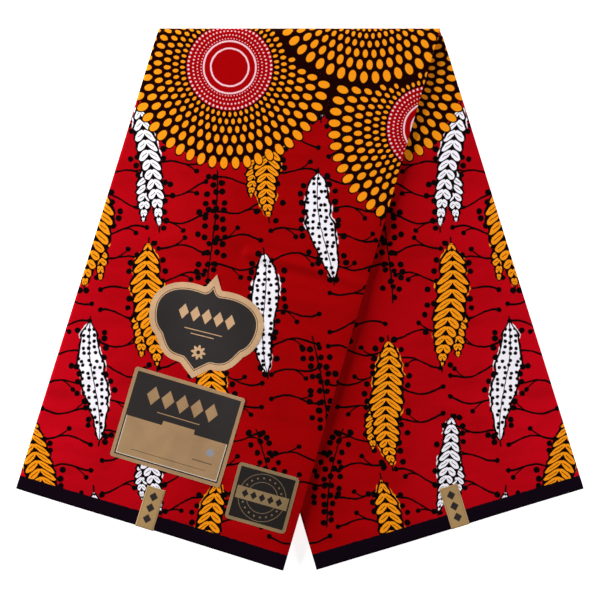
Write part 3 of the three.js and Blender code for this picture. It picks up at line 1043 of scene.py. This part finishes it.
hems = [hem_line(zone, ply) * MM for ply in range(PLIES) for zone in ("upper", "under")]
hem_ends = np.arange(len(hems) * (HEM_COLUMNS + 1)).reshape(len(hems), -1)
hem_edges = np.stack([hem_ends[:, :-1].ravel(), hem_ends[:, 1:].ravel()], axis=1)
loop_mesh = bpy.data.meshes.new("selvedge_loops")
loop_mesh.from_pydata(np.concatenate(hems).tolist(), hem_edges.tolist(), [])
loops = bpy.data.objects.new("selvedge_loops", loop_mesh)
scene.collection.objects.link(loops)
modifier = loops.modifiers.new("yarns", "NODES")
modifier.node_group = loops_along("selvedge_loops", yarn_paint("selvedge_yarn", SELVEDGE_BLACK))
for socket in modifier.node_group.interface.items_tree:
    if socket.name in LOOPS:
        modifier[socket.identifier] = LOOPS[socket.name]
grown = bpy.data.meshes.new_from_object(loops.evaluated_get(bpy.context.evaluated_depsgraph_get()))
loops.modifiers.clear()
loops.data = grown
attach(loops, "root")

# ---------------------------------------------------------------- paper labels
# Three die-cut labels of tan coated paper, printed with a dark field and plain ornament and stuck on the
# upper leg. They follow the cloth's soft folds, and a corner or two has begun to lift.

PAPER = 0.26
GLUE_GAP = 0.05
ON_CLOTH = (COTTON + PAPER) / 2 + GLUE_GAP  # from the middle of the cloth to the middle of the paper
TOP_DEPTH = 0.5 / PLIES
PAPER_SHARE = 0.8  # of the height of the map OFBake, for the printed face
LABEL_COLUMNS = 96
LABEL_ROWS = 72
CURVE_STEPS = 24
# Middle x and y, tilt, and the corners that lift, as local x and y, height and reach
BADGE = (-103.6, -29.7, radians(-13.8), [(0, 58, 1.3, 26), (62, 8, 0.7, 22)])
CARD = (-133, -139.2, radians(-16.5), [(62, 51, 1.6, 34), (-62, 50, 0.8, 24), (60, -50, 0.9, 26)])
SEAL = (-41, -216.1, radians(-15.2), [(34, 32, 0.9, 20), (-34, -31, 0.7, 16)])
# Width, height and corner radius
CARD_SIZE = (125, 101.5, 3.5)
SEAL_SIZE = (68.3, 63.4, 5)


def bezier(*corners):
    """Points along a curve from its start, its two handles and its end."""
    t = np.linspace(0, 1, CURVE_STEPS)[:, None]
    shares = ((1 - t) ** 3, 3 * t * (1 - t) ** 2, 3 * t * t * (1 - t), t**3)
    return sum(np.array(corner, float) * share for corner, share in zip(corners, shares))


def rounded_edges(size):
    """The lower and the upper edge of the right half of a rounded rectangle."""
    w, h, r = size[0] / 2, size[1] / 2, size[2]
    corner = bezier((w - r, h), (w - r / 3, h), (w, h - r / 3), (w, h - r))
    upper = np.concatenate([[(0, h)], corner])
    return upper * (1, -1), upper


def cartouche_edges():
    """Two round lobes with a point between them, drawn in below to a second point."""
    lower = [[(0, -58)], bezier((17, -44), (34, -44), (40, -38), (49, -22)),
             bezier((49, -22), (58, -16), (63, -4), (63, 10))]
    upper = [[(0, 58)], bezier((9, 42), (40, 47), (63, 32), (63, 10))]
    return np.concatenate(lower), np.concatenate(upper)


def distance_inside(points, edges):
    """How far points are from an outline given by the edges of its right half."""
    lower, upper = edges
    right = np.concatenate([lower, upper[::-1]])
    outline = np.concatenate([right, right[::-1] * (-1, 1)])
    start, run = outline[:-1], np.diff(outline, axis=0)
    length = np.maximum((run * run).sum(axis=1), 1e-9)
    offset = points[:, None] - start
    share = np.clip((offset * run).sum(axis=2) / length, 0, 1)
    return np.linalg.norm(offset - share[..., None] * run, axis=2).min(axis=1)


def eased(count):
    """Shares from 0 to 1 that stand closer together at both ends."""
    return (1 - np.cos(np.linspace(0, pi, count + 1))) / 2


def paper_piece(name, slot, node, grid, face, rim, material):
    """A piece of paper about a grid of points. The map "face" is the place on its print, and the map
    "rim" the distance from its cut edge."""
    maps = {"face": face, "rim": np.stack([rim, 0 * rim], axis=-1)}
    piece = closed_shell(name, grid, PAPER, maps, material, PAPER_SHARE)
    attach(piece, "root")
    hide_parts(node)


def label_piece(name, place, edges, material):
    """A label cut to the edges and laid on the upper leg."""
    middle_x, middle_y, tilt, lifts = place
    half = edges[0][:, 0].max() - 0.02
    x = (2 * eased(LABEL_COLUMNS)[:, None] - 1) * half + np.zeros(LABEL_ROWS + 1)
    low, high = (np.interp(abs(x), edge[:, 0], edge[:, 1]) for edge in edges)
    y = low + (high - low) * eased(LABEL_ROWS)
    world_x = middle_x + x * cos(tilt) - y * sin(tilt)
    world_y = middle_y + x * sin(tilt) + y * cos(tilt)
    z = upper_height(world_x, world_y, TOP_DEPTH) + ON_CLOTH
    for cx, cy, height, reach in lifts:
        z += height * np.maximum(0, 1 - np.hypot(x - cx, y - cy) / reach) ** 2
    face = np.stack([x, y], axis=2)
    rim = distance_inside(face.reshape(-1, 2), edges)
    grid = np.stack([world_x, world_y, z], axis=2)
    paper_piece(f"{name}_label", "label_paper", f"label_{name}", grid, face, rim, material)


TAN = srgb(208, 168, 128)
CARD_TAN = srgb(168, 134, 97)
OLIVE_TAN = srgb(140, 116, 82)
EDGE_HIGHLIGHT_TAN = srgb(196, 168, 136)  # painted highlight: the paper is drawn lighter along its cut edge, where light catches it
CHARCOAL = srgb(43, 39, 38)
SEAL_CHARCOAL = srgb(29, 25, 24)
SILVER = srgb(136, 142, 156)
PALE_LINE = srgb(206, 198, 184)
PAPER_BLUR = 0.3
POINT_BLUR = 0.12  # of lozenges, as a share of their size
CLOUDS = (0.45, 0.95)
CLOUD_TONE = 0.8
FIBRES = (0.3, 0.7)
FIBRE_SCALE, CLOUD_SCALE, CRUMPLE_SCALE = 1.6, 0.05, 0.07
PAPER_ROUGHNESS = (0.4, 0.52)
EDGE_HIGHLIGHT_SHARE = 0.35
PAPER_RELIEF = {"fibre": 0.04, "crumple": 0.5}


# What can be printed. Each kind takes the place from its middle, the distance from the paper's edge, and
# then its sizes.


def inked(distance):
    return inside(distance, PAPER_BLUR)


def field(u, v, rim, inset):
    return inked(inset - rim)


def line_round(u, v, rim, inset, half_width):
    return inked(abs(rim - inset) - half_width)


def line_below(u, v, rim, inset, half_width):
    return line_round(u, v, rim, inset, half_width) * inked(v)


def stepped_panel(u, v, rim, inset, step_middle, step_half, step_height):
    step = inked(abs(u - step_middle) - step_half)
    return inked(v - step * step_height) * inked(inset - rim)


def lozenges(u, v, rim, beside, pitch, half_u, half_v):
    """A row of lozenges along u: one in the middle, and some on each side of it."""
    nearest = math_of("MAXIMUM", math_of("MINIMUM", math_of("ROUND", u / pitch), beside), -beside)
    return inside(abs(u - nearest * pitch) / half_u + abs(v) / half_v - 1, POINT_BLUR)


def lozenges_down(u, v, rim, *sizes):
    return lozenges(v, u, rim, *sizes)


def rule(u, v, rim, half_length, half_width):
    return inked(abs(v) - half_width) * inked(abs(u) - half_length)


def spot(u, v, rim, radius):
    return inked(length_of(u, v) - radius)


def ring(u, v, rim, radius, width):
    return inked(abs(length_of(u, v) - radius) - width / 2)


def dot_ring(u, v, rim, radius, count, dot):
    spoke = math_of("ARCTAN2", v, u) * (count / (2 * pi))
    aside = (math_of("FRACT", spoke) - 0.5) * (2 * pi / count * radius)
    return inked(length_of(aside, length_of(u, v) - radius) - dot)


def rosette(u, v, rim, radius, petals, swell, eye):
    out = length_of(u, v)
    reach = math_of("COSINE", math_of("ARCTAN2", v, u) * petals) * swell + radius
    return inked(out - reach) * inked(eye - out)


def printed_paper(name, paper, marks):
    """Coated paper of a colour with marks on it, each over the last. Its fibres show a little.

    A mark is its kind, middle and sizes, how strong it is, and its ink, or None for bare paper.
    """
    material, shader = new_paint(name, {"Specular IOR Level": 0.2})
    Field.tree = material.node_tree
    x, y = map_in_mm("face")
    rim = map_in_mm("rim")[0]
    fibre = noise_at(x * 0.5, y, FIBRE_SCALE, 3)
    cloud = noise_at(x, y, CLOUD_SCALE, 3, z=4)
    stock = blend(ramp(cloud + fibre * 0.4, *CLOUDS), paper, darker(paper, CLOUD_TONE))
    # painted highlight: a lighter paper colour along the cut edge stands in for light catching that edge
    edge_highlight = inside(rim - 0.5 + fibre * 0.5, FINE_BLUR) * EDGE_HIGHLIGHT_SHARE
    colour = stock
    for kind, (cx, cy), sizes, strength, ink in marks:
        colour = blend(kind(x - cx, y - cy, rim, *sizes) * strength, colour, ink or stock)
    plug(shader.inputs["Base Color"], blend(edge_highlight, colour, EDGE_HIGHLIGHT_TAN))
    plug(shader.inputs["Roughness"], ramp(fibre, *FIBRES, *PAPER_ROUGHNESS))
    crumple = noise_at(x, y, CRUMPLE_SCALE, 2, z=9)
    bumped(shader, 0.5, fibre * PAPER_RELIEF["fibre"] + crumple * PAPER_RELIEF["crumple"])
    return material


BADGE_MARKS = [
    (field, (0, 0), [7.9], 1, CHARCOAL),
    (line_round, (0, 0), [6.5, 0.35], 1, CHARCOAL),
    (lozenges, (0, 11), [2, 13, 5.6, 8.5], 1, None),
    (rosette, (0, -29), [6.6, 8, 1.6, 2.2], 1, None),
    (rule, (0, -6), [21, 0.45], 1, None),
    (rule, (0, -10.5), [13, 0.45], 1, None),
]
CARD_MARKS = [
    (field, (0, 0), [3.9], 1, CHARCOAL),
    (stepped_panel, (0, -3), [5.3, 1, 18, 5], 1, None),
    (line_below, (0, -3), [5.8, 0.35], 1, PALE_LINE),
    (spot, (42, -17), [4.2], 0.8, SILVER),
    (rule, (0, -37.5), [42, 0.3], 0.8, CHARCOAL),
    (rule, (36, -29), [11, 0.5], 0.8, CHARCOAL),
    (lozenges, (-2, 25), [2, 16.5, 7.2, 10.5], 1, None),
    (rule, (-2, 9), [24, 0.5], 1, None),
]
SEAL_MARKS = [
    (field, (0, 0), [3.6], 1, SEAL_CHARCOAL),
    (ring, (0, 0), [26, 0.7], 0.75, None),
    (ring, (0, 0), [17, 0.7], 0.75, None),
    (dot_ring, (0, 0), [21.5, 20, 1.1], 0.75, None),
    (rule, (0, 0), [29, 6.9], 1, None),
    (lozenges, (0, 0), [2, 9.5, 3.8, 4.6], 1, SEAL_CHARCOAL),
]
for name, place, edges, paper, marks in [
    ("badge", BADGE, cartouche_edges(), TAN, BADGE_MARKS),
    ("card", CARD, rounded_edges(CARD_SIZE), CARD_TAN, CARD_MARKS),
    ("seal", SEAL, rounded_edges(SEAL_SIZE), OLIVE_TAN, SEAL_MARKS),
]:
    label_piece(name, place, edges, printed_paper(f"{name}_paper", paper, marks))

# ---------------------------------------------------------------- hem tabs
# A strip of the same tan paper over each hem, glued to the layer that shows and bent down across the
# edges of the others.

TAB_WIDTH = 20.5
TAB_LENGTH = 45.5
TAB_FOOT = 0.7  # how far above the table a tab ends
TAB_BEND = 1.8
TAB_REACH = 0.75  # how far it stands out from the hem
TAB_LIFT = 0.25  # how far its end on the face has come up
TAB_COLUMNS, FACE_ROWS, BEND_ROWS, DROP_ROWS = 17, 40, 9, 8
TAB_TAN = srgb(176, 142, 94)
TAB_MARKS = [
    (lozenges_down, (0, -TAB_LENGTH / 2), [1, 12.5, 5.2, 4.8], 1, CHARCOAL),
    (line_round, (0, 0), [1.6, 0.2], 0.5, CHARCOAL),
]
# How the leg's height is found, how deep in it its top layer lies, and the share of the hem from its
# outer corner to the middle of the tab
TABS = {
    "upper": (upper_height, TOP_DEPTH, 0.481),
    "under": (under_height, 1 - TOP_DEPTH, 0.461),
}


def tab_path(height):
    """A tab's run from its end on the face to its foot: how far out past the hem, and how far down."""
    bend_start = TAB_REACH - TAB_BEND
    on_face = np.linspace(-TAB_LENGTH, bend_start, FACE_ROWS)
    bend = np.linspace(0, pi / 2, BEND_ROWS)[1:]
    drop = np.linspace(TAB_BEND, height - TAB_FOOT, DROP_ROWS)[1:]
    out = np.concatenate([on_face, bend_start + TAB_BEND * np.sin(bend), np.full(len(drop), TAB_REACH)])
    return out, np.concatenate([0 * on_face, TAB_BEND * (1 - np.cos(bend)), drop])


def tab_shape(zone, height_at, depth, share):
    """A tab's grid of points, the places of its print and the distances from its edge. Columns run from
    left to right, and rows from the end on the face down to the foot."""
    left, right = (end[:, -1] for end in band_edges(zone, np.array([1.0]), 0, 1))
    outer, inner = (left, right) if zone == "upper" else (right, left)
    middle = outer + (inner - outer) * share
    along = (right - left) / np.hypot(*(right - left))
    hem_height = float(height_at(*middle[:, None], depth)[0]) + ON_CLOTH
    out, fall = tab_path(hem_height)
    x = np.linspace(-TAB_WIDTH / 2, TAB_WIDTH / 2, TAB_COLUMNS)[:, None] + 0 * out
    travelled = np.concatenate([[0], np.cumsum(np.hypot(np.diff(out), np.diff(fall)))]) + 0 * x

    def plan(past):
        return [middle[n] + along[n] * x + (along[1], -along[0])[n] * past for n in (0, 1)]

    z = height_at(*plan(np.minimum(out, 0)), depth) + ON_CLOTH - fall
    z += TAB_LIFT * np.clip(-out / TAB_LENGTH, 0, 1) ** 6
    rim = np.minimum(TAB_WIDTH / 2 - abs(x), travelled)
    return np.stack([*plan(out), z], axis=2), np.stack([x, -travelled], axis=2), rim


tab_paper = printed_paper("tab_paper", TAB_TAN, TAB_MARKS)
for zone, place in TABS.items():
    paper_piece(f"{zone}_hem_tab", "tab_paper", f"tab_{zone}_hem", *tab_shape(zone, *place), tab_paper)
